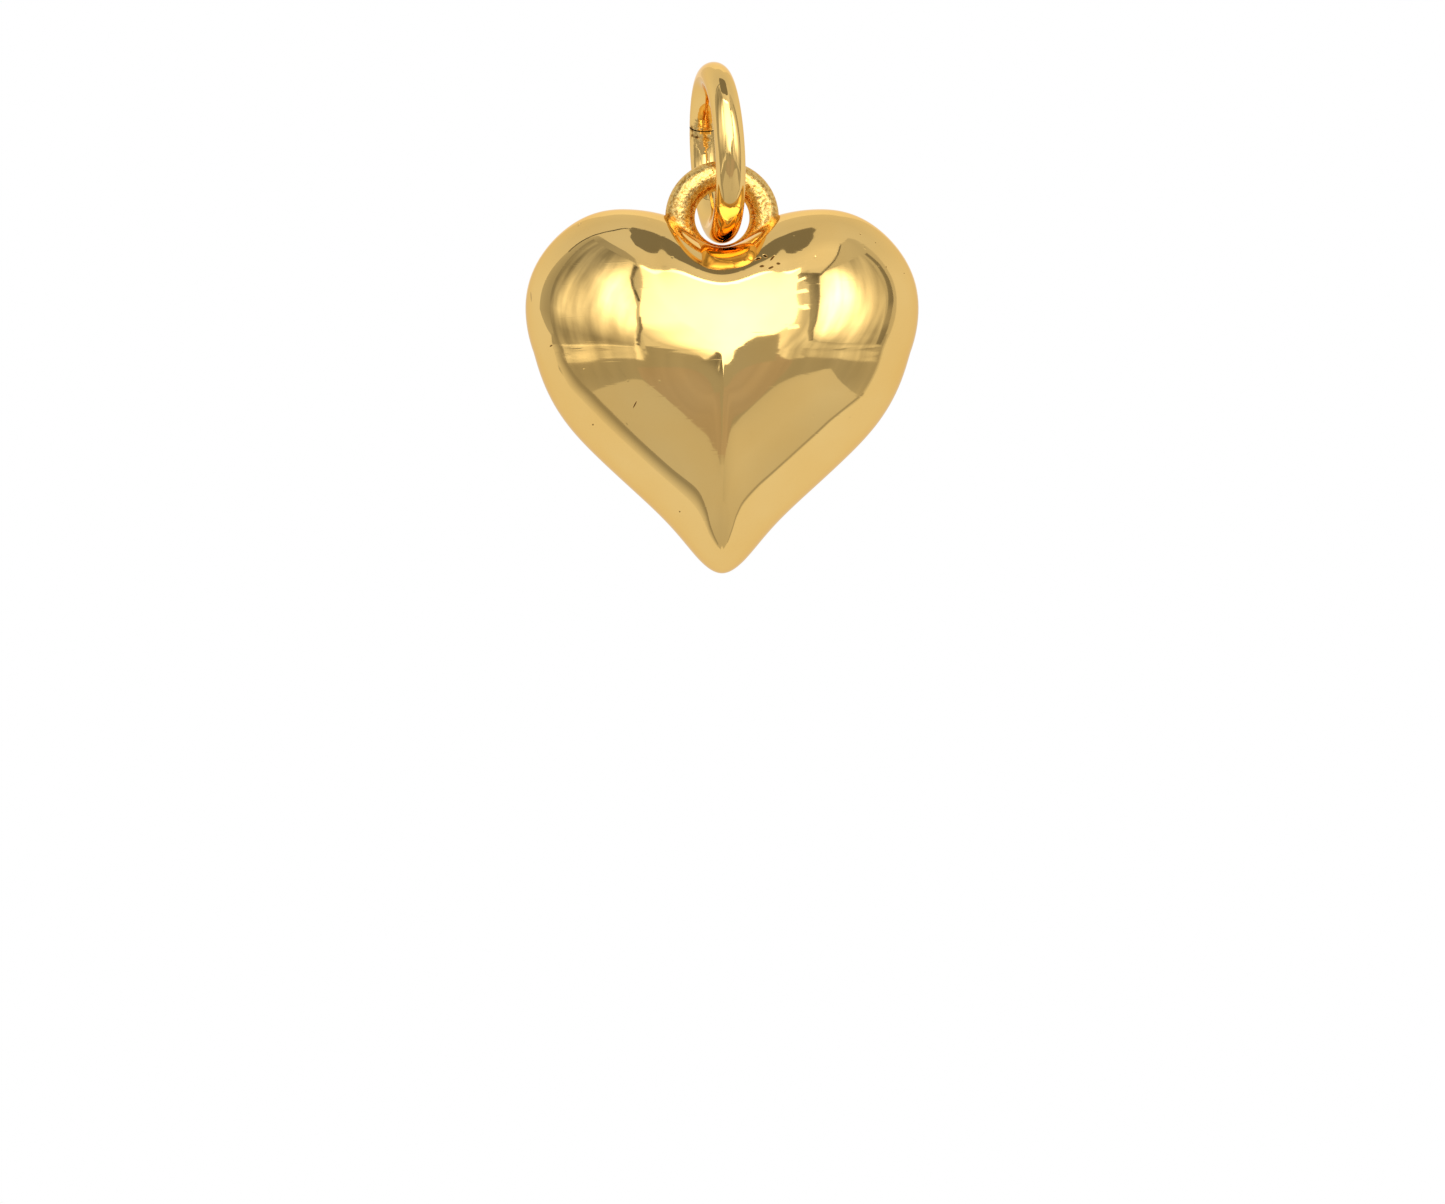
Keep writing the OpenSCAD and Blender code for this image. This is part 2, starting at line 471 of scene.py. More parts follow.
def polished_gold():
    """Mirror gold plate on a tumbled casting: a sharp reflection that haze and fine marks break."""
    material, tree, place = new_metal("polished_gold_plate")
    haze = add(tree, "ShaderNodeTexNoise", {"Vector": place, "Scale": 1 / HAZE, "Detail": 3.0})
    tones = {0: haze, 6: linear("#FAD68C"), 7: linear("#F6C873")}
    tone = add(tree, "ShaderNodeMix", tones, data_type="RGBA").outputs[2]
    gloss = {"Value": haze, "From Min": 0.35, "From Max": 0.75, "To Min": 0.035, "To Max": 0.085}
    rough = add(tree, "ShaderNodeMapRange", gloss)

    squeeze = (1 / SCRATCH_STRETCH, 1 / SCRATCH_STRETCH, 1)
    level = add(tree, "ShaderNodeMapping", {"Vector": place, "Scale": squeeze})
    lines = add(tree, "ShaderNodeTexNoise", {"Vector": level, "Scale": 1 / SCRATCH, "Detail": 1.0})
    scratches = add(tree, "ShaderNodeMapRange", {"Value": lines, "From Min": 0.66, "From Max": 0.78})
    bump = add(tree, "ShaderNodeBump", {"Height": scratches, "Distance": SCRATCH_DEPTH})

    cells = add(tree, "ShaderNodeTexVoronoi", {"Vector": place, "Scale": 1 / PIT_SPACING})
    hollow = {"Value": cells, "From Min": 0.03, "From Max": 0.07, "To Min": 1.0, "To Max": 0.0}
    pits = add(tree, "ShaderNodeMapRange", hollow)
    bump = add(tree, "ShaderNodeBump", {"Height": pits, "Distance": -PIT_DEPTH, "Normal": bump})

    marks = nick(tree, place, *NICKS[0])
    for values in NICKS[1:]:
        mark = nick(tree, place, *values)
        marks = add(tree, "ShaderNodeMath", {0: marks, 1: mark}, operation="MAXIMUM")
    bump = add(tree, "ShaderNodeBump", {"Height": marks, "Distance": -NICK_DEPTH, "Normal": bump})
    tones = {0: marks, 6: tone, 7: linear(WORN_BRASS)}
    dark_marks = add(tree, "ShaderNodeMix", tones, data_type="RGBA").outputs[2]
    finish_metal(tree, {"Base Color": dark_marks, "Roughness": rough, "Normal": bump})
    return material


# %% [markdown]
# ## Finish 2: gold plate on the raw skin of the casting
#
# The front of the eyelet is too narrow for the polishing stones, so it keeps the grain of the
# mould under its plating. Grains of about a tenth of a millimetre scatter the light, which
# turns the reflections into one broad glitter instead of a picture of the room. Grains in the
# mesh would take millions of faces, so they are bump. The hollows between them get a darker
# gold, which is painted shade.

# %% As-cast gold plate
GRAIN, GRAIN_DEPTH = 0.13 * MM, 0.028 * MM
LUMP, LUMP_DEPTH = 0.5 * MM, 0.05 * MM


def as_cast_gold():
    """Gold plate on grainy cast metal: a broad glitter, with no clear reflection in it, and painted shade
    in the hollows between the grains.
    """
    material, tree, place = new_metal("as_cast_gold_plate")
    grain = add(tree, "ShaderNodeTexNoise", {"Vector": place, "Scale": 1 / GRAIN, "Detail": 4.0})
    lumps = add(tree, "ShaderNodeTexNoise", {"Vector": place, "Scale": 1 / LUMP, "Detail": 2.0})
    gloss = {"Value": grain, "From Min": 0.3, "From Max": 0.7, "To Min": 0.14, "To Max": 0.3}
    rough = add(tree, "ShaderNodeMapRange", gloss)
    # Painted shade: the darker gold goes in the hollows between the grains and the lighter gold on their
    # tops
    painted_grain_shade = add(tree, "ShaderNodeMapRange", {"Value": grain, "From Min": 0.36, "From Max": 0.56})
    tones = {0: painted_grain_shade, 6: linear("#CE9846"), 7: linear("#EEC97C")}
    tone = add(tree, "ShaderNodeMix", tones, data_type="RGBA").outputs[2]
    grains = {"Height": grain, "Distance": GRAIN_DEPTH, "Strength": 0.8}
    bump = add(tree, "ShaderNodeBump", grains)
    bump = add(tree, "ShaderNodeBump", {"Height": lumps, "Distance": LUMP_DEPTH, "Normal": bump})
    finish_metal(tree, {"Base Color": tone, "Roughness": rough, "Normal": bump})
    return material


# %% [markdown]
# ## Finish 3: gold-plated drawn wire
#
# Wire is pulled through a die, which leaves faint lines along it and nothing across it. The
# lines could be drawn on an unwrapped strip, but a strip has a seam. So the tree that bends the
# wire stores, on each point, its place in the wire's round section, and noise read from that
# place alone runs along the wire without one. Where the pliers closed the ring, near the split,
# the plating is dented and duller, and the dark brown patches among the dents are painted
# reflection. The two faces of the split are bare brass, painted near black as the shade in the
# narrow split.

# %% Wire gold plate
DRAW_LINE, DRAW_LINE_DEPTH = 0.11 * MM, 0.0012 * MM
DENT, DENT_DEPTH = 0.4 * MM, 0.045 * MM
BRUISE_AND_REFLECTION_FULL, BRUISE_AND_REFLECTION_END = 0.3 * MM, 1.6 * MM


def wire_gold():
    """Gold plate on drawn wire: bright, with lines along it, dented and dull near the split, where dark
    patches are painted in as reflection.
    """
    material, tree, place = new_metal("wire_gold_plate")
    section = add(tree, "ShaderNodeAttribute", attribute_name="section").outputs["Vector"]
    fine = {"Vector": section, "Scale": 1 / DRAW_LINE, "Detail": 3.0}
    lines = add(tree, "ShaderNodeTexNoise", fine)
    bump = add(tree, "ShaderNodeBump", {"Height": lines, "Distance": DRAW_LINE_DEPTH})

    away = add(tree, "ShaderNodeAttribute", attribute_name="from_split").outputs["Fac"]
    fade = {"Value": away, "From Min": BRUISE_AND_REFLECTION_FULL, "From Max": BRUISE_AND_REFLECTION_END, "To Min": 1.0, "To Max": 0.0}
    bruise_and_painted_reflection = add(tree, "ShaderNodeMapRange", fade)
    dents = add(tree, "ShaderNodeTexNoise", {"Vector": place, "Scale": 1 / DENT, "Detail": 2.0})
    marks = add(tree, "ShaderNodeMath", {0: dents, 1: bruise_and_painted_reflection}, operation="MULTIPLY")
    bump = add(tree, "ShaderNodeBump", {"Height": marks, "Distance": DENT_DEPTH, "Normal": bump})
    gloss = {"Value": marks, "From Min": 0.1, "From Max": 0.7, "To Min": 0.05, "To Max": 0.16}
    rough = add(tree, "ShaderNodeMapRange", gloss)
    # Painted reflection: the deepest dents near the split turn dark brown in place of dark reflections;
    # the dents and the dull gloss are real
    dark_marks = add(tree, "ShaderNodeMapRange", {"Value": marks, "From Min": 0.56, "From Max": 0.66})
    tones = {0: dark_marks, 6: linear(GOLD), 7: linear("#8A5A24")}
    tone = add(tree, "ShaderNodeMix", tones, data_type="RGBA").outputs[2]
    finish_metal(tree, {"Base Color": tone, "Roughness": rough, "Normal": bump})
    return material


# %% Bare brass of the cut, painted near black as the shade in the split
SAW_LINE, SAW_STRETCH, SAW_DEPTH = 0.08 * MM, 6, 0.01 * MM


def sawn_brass_painted_shade():
    """Brass as the saw left it, painted near black as the shade in the narrow split, which makes the split
    a dark line.
    """
    material, tree, place = new_metal("sawn_brass_painted_shade")
    drawn = add(tree, "ShaderNodeMapping", {"Vector": place, "Scale": (1, 1 / SAW_STRETCH, 1)})
    lines = add(tree, "ShaderNodeTexNoise", {"Vector": drawn, "Scale": 1 / SAW_LINE, "Detail": 2.0})
    bump = add(tree, "ShaderNodeBump", {"Height": lines, "Distance": SAW_DEPTH})
    # Painted shade: the cut faces are near black and stand for the shade inside the narrow split
    finish_metal(tree, {"Base Color": linear("#2E1C0C"), "Roughness": 0.55, "Normal": bump})
    return material


# %% Make the finishes
polished = polished_gold()
as_cast = as_cast_gold()
wire = wire_gold()
cut = sawn_brass_painted_shade()
print("finishes:", [material.name for material in (polished, as_cast, wire, cut)])

# %% Puff the heart
heart_body = bake(
    "heart_body",
    globe_grid("globe"),
    puff_tree(),
    {
        "Half Width": half_width,
        "Lobe Height": LOBE_H,
        "Tip Depth": TIP_H,
        "Thickness": heart_t,
        "Wave": 3.2 * MM,
        "Wave Depth": 0.012 * MM,
        "Centre": (heart_x, 0, crown_z),
        "Finish": polished,
    },
)
print("heart body:", len(heart_body.data.polygons), "faces")

# %% [markdown]
# ## Round wire along a path, by Geometry Nodes
#
# The eyelet and the jump ring are the same form, a round section carried along a circle, so
# one tree makes both. A torus primitive has the form too, but it can't be split, and it carries
# nothing for the draw lines to follow. The eyelet's path is a whole circle. The ring's is an
# arc that stops short of closing by the width of the saw cut, and its two ends are capped.


# %% The tree that bends a wire
def wire_tree(closed):
    """Geometry Nodes: a round wire along a circle in the XY plane, closed or with a split."""
    tree, given = new_tree(
        "closed_wire" if closed else "split_wire",
        Float=("Radius", "Wire", "Split"),
        Int=("Steps Along", "Steps Round"),
    )
    shape = {"Resolution": given["Steps Along"], "Radius": given["Radius"]}
    if closed:
        path = add(tree, "GeometryNodeCurvePrimitiveCircle", shape)
    else:
        gap = add(tree, "ShaderNodeMath", {0: given["Split"], 1: given["Radius"]}, operation="DIVIDE")
        shape["Start Angle"] = add(tree, "ShaderNodeMath", {0: gap, 1: 2.0}, operation="DIVIDE")
        shape["Sweep Angle"] = add(tree, "ShaderNodeMath", {0: math.tau, 1: gap}, operation="SUBTRACT")
        path = add(tree, "GeometryNodeCurveArc", shape)

    along = add(tree, "GeometryNodeSplineParameter").outputs["Length"]
    whole = add(tree, "GeometryNodeSplineLength").outputs["Length"]
    back = add(tree, "ShaderNodeMath", {0: whole, 1: along}, operation="SUBTRACT")
    nearer = add(tree, "ShaderNodeMath", {0: along, 1: back}, operation="MINIMUM")
    label = {"Geometry": path, "Name": "from_split", "Value": nearer}
    path = add(tree, "GeometryNodeStoreNamedAttribute", label, data_type="FLOAT", domain="POINT")

    half_wire = add(tree, "ShaderNodeMath", {0: given["Wire"], 1: 2.0}, operation="DIVIDE")
    shape = {"Resolution": given["Steps Round"], "Radius": half_wire}
    profile = add(tree, "GeometryNodeCurvePrimitiveCircle", shape)
    position = add(tree, "GeometryNodeInputPosition")
    label = {"Geometry": profile, "Name": "section", "Value": position}
    profile = add(tree, "GeometryNodeStoreNamedAttribute", label, data_type="FLOAT_VECTOR", domain="POINT")

    sockets = {"Curve": path, "Profile Curve": profile, "Fill Caps": not closed}
    tube = add(tree, "GeometryNodeCurveToMesh", sockets)
    dress(tree, tube, given["Finish"])
    return tree


# %% Clean a piece's mesh
SAME_POINT = 0.0005 * MM
CREASE = math.radians(35)


def finish_mesh(piece):
    """Merges doubles, points the faces outwards, and shades smooth up to a crease's angle."""
    work = bmesh.new()
    work.from_mesh(piece.data)
    bmesh.ops.remove_doubles(work, verts=work.verts, dist=SAME_POINT)
    bmesh.ops.recalc_face_normals(work, faces=work.faces)
    for face in work.faces:
        face.smooth = True
    for edge in work.edges:
        edge.smooth = edge.is_manifold and edge.calc_face_angle(0) < CREASE
    open_edges = sum(not edge.is_manifold for edge in work.edges)
    volume = work.calc_volume(signed=True) / MM**3
    work.to_mesh(piece.data)
    work.free()
    faces = len(piece.data.polygons)
    print(f"{piece.name}: {faces} faces, {open_edges} open edges, {volume:.1f} cubic mm")


# %% [markdown]
# ## The eyelet
#
# On the real pendant the eyelet isn't soldered on: it is part of the casting. It stands in the
# cleft with its hole facing front and back, and its foot is buried, so that the floor of its
# hole is only a tenth of a millimetre above the floor of the cleft. From the front it grows
# out of a V of polished metal, and the line where grain meets mirror is the crisp V of the
# cleft itself. It could be pulled out of the heart's own mesh, but its section would hardly
# stay round, so it is made as a round wire first and joined afterwards.

# %% Bend the eyelet
eyelet = bake(
    "eyelet",
    bpy.data.meshes.new("none"),
    wire_tree(closed=True),
    {
        "Radius": eyelet_r,
        "Wire": EYELET_WIRE,
        "Split": 0.0,
        "Steps Along": 160,
        "Steps Round": 80,
        "Finish": as_cast,
    },
)
eyelet_place = Matrix.Translation((heart_x, 0, eyelet_z)) @ Matrix.Rotation(math.pi / 2, 4, "X")
eyelet.data.transform(eyelet_place)
print("eyelet:", len(eyelet.data.polygons), "faces")

# %% [markdown]
# ## One casting
#
# The eyelet and the heart are one piece of metal, so they become one closed mesh. Two meshes
# that only overlap would look much the same, but buried walls are a fault in a mesh that is
# kept. An exact Boolean union cuts them away and leaves the crisp crease between the two.

# %% Join the eyelet to the heart
union = heart_body.modifiers.new("union", "BOOLEAN")
union.operation = "UNION"
union.solver = "EXACT"
union.material_mode = "TRANSFER"
union.object = eyelet
graph = bpy.context.evaluated_depsgraph_get()
joined = bpy.data.meshes.new_from_object(heart_body.evaluated_get(graph))
heart_body.modifiers.remove(union)
bpy.data.objects.remove(eyelet)
bpy.data.objects.remove(heart_body)
joined.name = "cast_heart"
cast_heart = placed("cast_heart", joined)
finish_mesh(cast_heart)
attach(cast_heart, "charm")
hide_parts("heart")

# %% [markdown]
# ## The jump ring
#
# The real ring was cut from a coil of wire and closed with pliers. It hangs from its inner top,
# leans a little and is turned a little, as a loose ring does. Both angles could be guessed by
# eye, but the sway joint already holds them: its place and axis are the ring's lowest point
# and the wire's direction there, so the ring always runs through the eyelet that swings on it.
# The two cut faces are the only ones with more than four corners, which is how they are found.

# %% Bend the jump ring
jump_ring = bake(
    "split_ring",
    bpy.data.meshes.new("none"),
    wire_tree(closed=False),
    {
        "Radius": ring_r,
        "Wire": RING_WIRE,
        "Split": SPLIT_GAP,
        "Steps Along": 257,
        "Steps Round": 96,
        "Finish": wire,
    },
)
upright = Matrix.Rotation(math.pi / 2, 4, "Z") @ Matrix.Rotation(math.pi / 2, 4, "X")
hung = Matrix.Rotation(-ring_lean, 4, "Y") @ Matrix.Rotation(ring_turn, 4, "Z")
drop = Matrix.Translation((0, 0, -RING_HOLE / 2))
at_split = Matrix.Rotation(math.radians(SPLIT_RISE), 4, "Z")
jump_ring.data.transform(hung @ drop @ upright @ at_split)
jump_ring.data.materials.append(cut)
for face in jump_ring.data.polygons:
    face.material_index = 1 if len(face.vertices) > 4 else 0
finish_mesh(jump_ring)
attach(jump_ring, "ring")
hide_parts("jump_ring")

# %% [markdown]
# ## The light tent
#
# A mirror-bright object is photographed inside a tent of white cloth. Its look is the layout
# of that tent: a large soft box behind the camera, softer ones left and right, seams between
# them, a grey ground in front and the white table behind. A picture of a real studio could be
# wrapped round the scene, but this scene uses no pictures, so the tent's panels are given one
# by one. Each panel is a card of light, placed by its direction from the heart: most cards by
# azimuth, from the camera towards the right, and elevation, and the ones `over` the pendant by
# their angle to the side and the pitch over the top. The cards are seen only by glossy rays, so
# they shape the reflections and leave the plain light alone.


# %% The cloth of the tent
def cloth_light():
    """White cloth lit from behind: a glow that each card's points carry, in soft hanging folds."""
    material = bpy.data.materials.new("tent_cloth")
    tree = emptied(material)
    glow = add(tree, "ShaderNodeAttribute", attribute_name="glow").outputs["Fac"]
    tint = add(tree, "ShaderNodeAttribute", attribute_name="tint").outputs["Color"]
    folds = add(tree, "ShaderNodeAttribute", attribute_name="folds").outputs["Vector"]
    depth = add(tree, "ShaderNodeAttribute", attribute_name="fold_depth").outputs["Fac"]
    noise = add(tree, "ShaderNodeTexNoise", {"Vector": folds, "Scale": 1.0, "Detail": 3.0})
    swing = {"Value": noise, "From Min": 0.3, "From Max": 0.7, "To Min": -1.0, "To Max": 1.0}
    fold = add(tree, "ShaderNodeMapRange", swing)
    shade = add(tree, "ShaderNodeMath", {0: fold, 1: depth, 2: 1.0}, operation="MULTIPLY_ADD")
    strength = add(tree, "ShaderNodeMath", {0: glow, 1: shade}, operation="MULTIPLY")
    light = add(tree, "ShaderNodeEmission", {"Color": tint, "Strength": strength})
    add(tree, "ShaderNodeOutputMaterial", {"Surface": light})
    return material


tent_cloth = cloth_light()
print("tent cloth has", len(tent_cloth.node_tree.nodes), "nodes")

# %% A card of light
TENT_CENTRE = Vector((heart_x, 0, crown_z))
# Degrees between a card's points
CARD_STEP = 6
# A fold's width and length in degrees, and the height over which it leans by its own width
FOLD_WIDTH, FOLD_LENGTH, FOLD_LEAN = 7, 50, 45


def toward(a, b, over):
    """The direction of a card's azimuth and elevation, or of an over card's side and pitch."""
    a, b = math.radians(a), math.radians(b)
    if over:
        return Vector((math.sin(a), -math.cos(b) * math.cos(a), math.sin(b) * math.cos(a)))
    return Vector((math.sin(a) * math.cos(b), -math.cos(a) * math.cos(b), math.sin(b)))


def card_steps(rows, glow):
    """The rows with the light of each column behind their three angles, and rows put between them."""
    span = max(abs(right - left) for _, left, right, *_ in rows)
    columns = max(len(glow), int(span / CARD_STEP) + 2)
    shares = np.linspace(0, 1, columns)
    table = []
    for height, left, right, *own in rows:
        factor = own[0] if own else 1
        light = factor if isinstance(factor, list) else [factor * level for level in glow]
        levels = np.interp(shares, np.linspace(0, 1, len(light)), light)
        table.append(np.array([height, left, right, *levels]))
    steps = [table[0]]
    for one, two in zip(table, table[1:]):
        count = int(abs(two[0] - one[0]) / CARD_STEP) + 1
        steps += [one + (two - one) * (k + 1) / count for k in range(count)]
    return steps, shares


def card(name, rows, glow, distance, over=False, folds=0.0, tint=WHITE):
    """Hangs a card whose rows are (height, left, right) in degrees, lit by glow from left to right.

    A fourth value in a row is a factor on the light, or a list of light of the row's own.
    """
    steps, shares = card_steps(rows, glow)
    columns = len(shares)
    points, lights, cloth = [], [], []
    for height, left, right, *levels in steps:
        for share, level in zip(shares, levels):
            side = left + (right - left) * share
            points.append(TENT_CENTRE + toward(side, height, over) * distance)
            lights.append(level)
            cloth.append((side / FOLD_WIDTH - height / FOLD_LEAN, height / FOLD_LENGTH, distance))
    faces = [
        (r * columns + c, r * columns + c + 1, (r + 1) * columns + c + 1, (r + 1) * columns + c)
        for r in range(len(steps) - 1)
        for c in range(columns - 1)
    ]
    mesh = bpy.data.meshes.new(name)
    mesh.from_pydata(points, [], faces)
    store(mesh, "glow", "FLOAT", "value", lights)
    store(mesh, "fold_depth", "FLOAT", "value", [folds] * len(points))
    store(mesh, "folds", "FLOAT_VECTOR", "vector", np.ravel(cloth))
    store(mesh, "tint", "FLOAT_COLOR", "color", linear(tint) * len(points))
    mesh.materials.append(tent_cloth)
    sheet = placed(name, mesh)
    sheet.visible_camera = False
    sheet.visible_diffuse = False
    sheet.visible_shadow = False
    sheet.visible_transmission = False
    print(f"hung {name} at {distance:.2f} m, {len(faces)} panes")


# %% [markdown]
# ## Walls, ground and roof of the tent
#
# These are the dull cloth between the bright panels, at about half the light of the white
# table. The heart's rim looks past their edges to the table and the room behind, which draws
# the pale line round it. One closed box would be quicker, but its edges would lie elsewhere
# than the real ones, so each wall is a card that ends where the real cloth does.

# %% Walls
# How far from the heart the cards hang, in metres: a nearer card hides what is behind it
FARTHEST, FAR, MIDDLE, HALFWAY = 0.9, 0.85, 0.62, 0.6
NEAR, NEARER, NEAREST, CLOSE, CLOSEST = 0.5, 0.47, 0.42, 0.4, 0.38

card(
    "wall_left",
    [
        (67.5, -78, -46), (66, -91, -38), (60, -93.5, -36), (47, -96, -36), (30, -101, -36),
        (5, -106, -34), (-6, -98, -34), (-14, -91, -34),
    ],
    [0.5, 0.42, 0.35, 0.37, 0.38, 0.4, 0.42, 0.45],
    FAR,
)
card(
    "wall_right",
    [(64, 67, 86), (60, 60, 90), (52, 44, 91.5), (46, 36, 92), (30, 36, 93), (0, 20, 92), (-14, 20, 90)],
    [0.62, 0.6, 0.6, 0.58, 0.55, 0.6],
    FAR,
)

# %% Ground
card(
    "ground",
    [
        (-8, -94, 90), (-18, -100, 91), (-26, -92, 90), (-31, -88, 88.5), (-41, -82, 78),
        (-50, -82, 75), (-65, -82, 76, 0.93), (-85, -82, 76, 0.9),
    ],
    [0.58, 0.59, 0.6, 0.6, 0.6, 0.6, 0.61, 0.61, 0.6, 0.61, 0.62],
    FAR,
)
card(
    "ground_near_wall",
    [
        (-4, -36, 36, 1.0), (-8, -94, 88, 1.0), (-17, -101, 89), (-22, -96, 88.5),
        (-26, -92, 88, 1.06), (-30, -88, 87, 1.15), (-32, -22, 22, 1.2), (-36, -12, 16, 1.32),
    ],
    [0.4, 0.38, 0.39, 0.4, 0.41, 0.42, 0.41, 0.41, 0.4, 0.4, 0.42],
    MIDDLE,
    folds=0.07,
)
card(
    "warm_ground",
    [
        (-5, 8, 24), (-8, 8, 31), (-12, -16, 32), (-16, -40, 31), (-21, -40, 28), (-27, -36, 24),
        (-33, -20, 20),
    ],
    [0.44, 0.46, 0.47, 0.46],
    HALFWAY,
    folds=0.1,
    tint="#FFF5F5",
)

# %% White sheets on the ground
card(
    "sheet_left",
    [
        (-22.5, -45, -40), (-25, -55, -37), (-28, -72, -33), (-30, -89, -22), (-34, -84, -14),
        (-40, -80, -6),
    ],
    [0.6, 0.6, 0.6, 0.58],
    NEAR,
)
card(
    "sheet_right",
    [
        (-17.5, 49, 53), (-20, 37, 56.5), (-22.5, 29, 60), (-25, 25, 65), (-28, 22, 74),
        (-30, 18, 88), (-34, 13, 83, 0.98), (-42, 6, 76, 0.93), (-52, 4, 74, 0.9),
    ],
    [0.6, 0.65, 0.68, 0.67, 0.66],
    NEAR,
)

# %% Shaded bands low at the sides
card(
    "band_left",
    [
        (-14, -100, -88), (-24, -97, -81), (-30, -92, -75.5), (-37, -89, -72.5), (-45, -88, -71),
        (-52, -90, -74), (-62, -88, -73), (-75, -86, -68),
    ],
    [0.74, 0.66, 0.56, 0.44, 0.32, 0.33],
    NEAREST,
)
card(
    "band_right",
    [
        (-28, 86.5, 90.5), (-34, 80.5, 84.5), (-41, 74.5, 78.5), (-47, 72, 76), (-56, 72, 77),
        (-70, 72, 78),
    ],
    [0.6, 0.36, 0.42, 0.72],
    NEAREST,
)

# %% Roof, and the holder just over the pendant
HOLDER_RISE = 37 * MM

card(
    "roof",
    [
        (62, -45, 45, [0.82, 0.72, 0.72, 0.75, 0.85, 0.9, 0.82]),
        (74, -50, 50, [0.82, 0.72, 0.71, 0.8, 0.9, 0.88, 0.82]),
        (84, -60, 60, [0.82, 0.72, 0.7, 0.72, 0.75, 0.72, 0.82]),
        (110, -60, 60, [0.82, 0.72, 0.69, 0.69, 0.69, 0.72, 0.82]),
        (150, -60, 60, [0.82, 0.82]),
    ],
    [1.0],
    FARTHEST,
    over=True,
)
card(
    "holder",
    [
        (75, -7, 7), (78, -12.5, 12.5), (84, -12.5, 12.5), (88, -10.6, 11), (92, -10.6, 11),
        (96, -8.3, 8.3),
    ],
    [0.22, 0.22],
    HOLDER_RISE,
    over=True,
)

# %% [markdown]
# ## Soft boxes
#
# A soft box is a lamp behind white cloth. The one behind the camera makes the bright field in
# the middle of the heart, and the ones at the sides light its flanks. They could be area lamps,
# but a lamp is equally bright all over. Here each row of a card carries its own light, which is
# strongest where the lamp stands behind the cloth.

# %% Soft box behind the camera
card(
    "soft_box_front",
    [
        (65.5, -16, 10, 1.5), (64, -32, 24, 1.5), (62.3, -34.5, 31, 1.5), (60.8, -35, 32.5, 0.8),
        (55, -34, 33, 0.85), (42, -34.5, 32.5, 0.95), (30, -33, 31), (21, -32, 28),
        (15, -31.5, 22, [0.9, 1.7, 2.7, 3.0, 3.0, 2.8]),
        (10, -31, 16, [0.7, 1.5, 2.6, 3.0, 3.1, 2.9]),
        (4, -28, 6.5, [0.7, 1.2, 1.8, 2.6, 3.0, 3.0]),
        (0, -22, 5, [0.7, 1.1, 1.5, 2.1, 2.8, 3.0]),
        (-3, -11, 5.4, [0.9, 1.3, 2.0, 2.3]),
        (-5.5, -8, 9, [1.4, 2.2]),
        (-9.2, -8, 11.5, [1.5, 2.0]),
    ],
    [1.9, 2.7, 2.9, 3.0, 2.9, 2.6],
    NEAR,
)

# %% Soft box on the left
card(
    "soft_box_left",
    [
        (62, -86, -38, [0.38, 0.38, 0.38, 0.38, 0.38, 0.4, 0.5, 0.8]),
        (55, -86, -38.5, [0.36, 0.36, 0.37, 0.38, 0.4, 0.5, 0.95, 1.3]),
        (47, -86, -38, [0.3, 0.3, 0.36, 0.45, 0.55, 0.9, 2.0, 1.8]),
        (40, -86, -36.5, [0.26, 0.28, 0.4, 0.55, 0.65, 1.6, 3.0, 2.0]),
        (30, -87, -33.5, [0.26, 0.4, 0.75, 0.85, 0.85, 1.6, 3.3, 2.2]),
        (20, -88, -32.5, [0.3, 0.6, 0.95, 0.88, 0.85, 1.3, 2.2, 2.0]),
        (10, -89, -33, [0.38, 0.75, 0.95, 0.7, 0.7, 0.9, 1.1, 1.25]),
        (3, -90, -34.5, [0.36, 0.5, 0.6, 0.45, 0.55, 0.67, 0.72, 0.8]),
        (-4, -90, -35.5, [0.34, 0.34, 0.34, 0.34, 0.36, 0.4, 0.46, 0.6]),
        (-8.5, -91, -42, [0.34, 0.34, 0.34, 0.36, 0.38, 0.42, 0.5, 0.6]),
        (-10, -92, -56, [0.36, 0.36, 0.36, 0.38, 0.4, 0.44, 0.5, 0.55]),
        (-12.5, -93, -64, [0.36, 0.36, 0.4, 0.4, 0.4, 0.42, 0.44, 0.46]),
        (-15, -94, -86, [0.36, 0.4]),
    ],
    [1.0],
    NEAR,
    folds=0.36,
)

# %% Soft box on the right
card(
    "soft_box_right",
    [
        (50, 41, 76, [1.1, 1.4, 1.0, 0.66, 0.62, 0.6, 0.58, 0.56, 0.5]),
        (46, 39.5, 77, [1.5, 3.0, 2.4, 1.1, 0.75, 0.7, 0.66, 0.6, 0.48]),
        (40, 39, 78, [1.7, 3.6, 3.6, 2.4, 1.15, 0.85, 0.75, 0.6, 0.46]),
        (30, 37.5, 79, [1.8, 4.2, 4.2, 3.2, 1.7, 1.0, 0.85, 0.7, 0.6]),
        (20, 36.5, 79, [1.4, 3.8, 3.6, 2.8, 1.9, 1.1, 0.85, 0.78, 0.75]),
        (10, 36, 79, [1.3, 3.0, 2.8, 2.2, 1.7, 1.1, 0.85, 0.8, 0.8]),
        (3, 37, 79, [1.0, 1.7, 1.6, 1.5, 1.2, 0.9, 0.78, 0.78, 0.8]),
        (-4, 42, 79, [0.75, 0.85, 0.95, 0.95, 0.85, 0.7, 0.6, 0.56, 0.62]),
        (-8, 51, 80, [0.7, 0.8, 0.8, 0.75, 0.7, 0.65, 0.6, 0.58, 0.56]),
        (-11, 64, 82, [0.6, 0.6, 0.58, 0.56, 0.54, 0.52, 0.5, 0.5, 0.5]),
        (-14, 77, 84, [0.5, 0.5]),
    ],
    [1.0],
    NEAR,
    folds=0.32,
)

# %% [markdown]
# ## Seams, frames and gaps between the panels
#
# The thin dark and bright lines in the reflections are the cords, hems, clips and posts that
# hold the tent up. Without them the reflections look empty and computed. They could be
# modelled round, but in so curved a mirror a flat strip in front of the panels looks the same.

